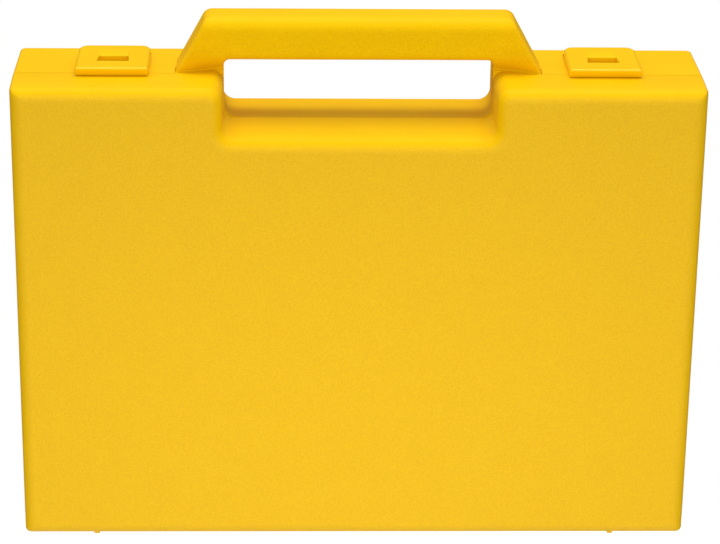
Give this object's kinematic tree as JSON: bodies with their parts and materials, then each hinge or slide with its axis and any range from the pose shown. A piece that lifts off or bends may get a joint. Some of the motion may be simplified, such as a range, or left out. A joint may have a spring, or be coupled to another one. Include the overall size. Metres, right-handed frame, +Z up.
{
  "type": "tool case",
  "caption": "Upright moulded plastic tool case: a shallow front lid hinged along the bottom of a deeper base, flip latches on top, and a carry handle over a finger notch.",
  "frame": {"origin": "on the ground under the middle of the closed case's box, as it stands on its feet", "axes": "+X to the right seen from the lid, +Y from the lid to the base's back, +Z up towards the handle"},
  "size_m": [0.34, 0.072, 0.2748],
  "materials": {
    "case_plastic": "fine grain on the front and back, satin elsewhere",
    "latch_plastic": "smooth satin",
    "pin_steel": "drawn wire"
  },
  "bodies": {
    "base": {"base_shell": "case_plastic", "handle_cover": "case_plastic", "latch_pin_left": "pin_steel", "latch_pin_right": "pin_steel", "hinge_pin_left": "pin_steel", "hinge_pin_right": "pin_steel"},
    "lid": {"lid_shell": "case_plastic"},
    "left_latch": {"latch_left": "latch_plastic"},
    "right_latch": {"latch_right": "latch_plastic"}
  },
  "joints": [
    {"name": "lid_hinge", "type": "hinge", "parent": "base", "child": "lid", "pos_m": [0, -0.009, 0.0025], "axis": [1, 0, 0], "range_deg": [0, 180]},
    {"name": "left_latch_pivot", "type": "hinge", "parent": "base", "child": "left_latch", "pos_m": [-0.1212, 0.0201, 0.2483], "axis": [-1, 0, 0], "range_deg": [0, 90]},
    {"name": "right_latch_pivot", "type": "hinge", "parent": "base", "child": "right_latch", "pos_m": [0.1212, 0.0201, 0.2483], "axis": [-1, 0, 0], "range_deg": [0, 90]}
  ]
}
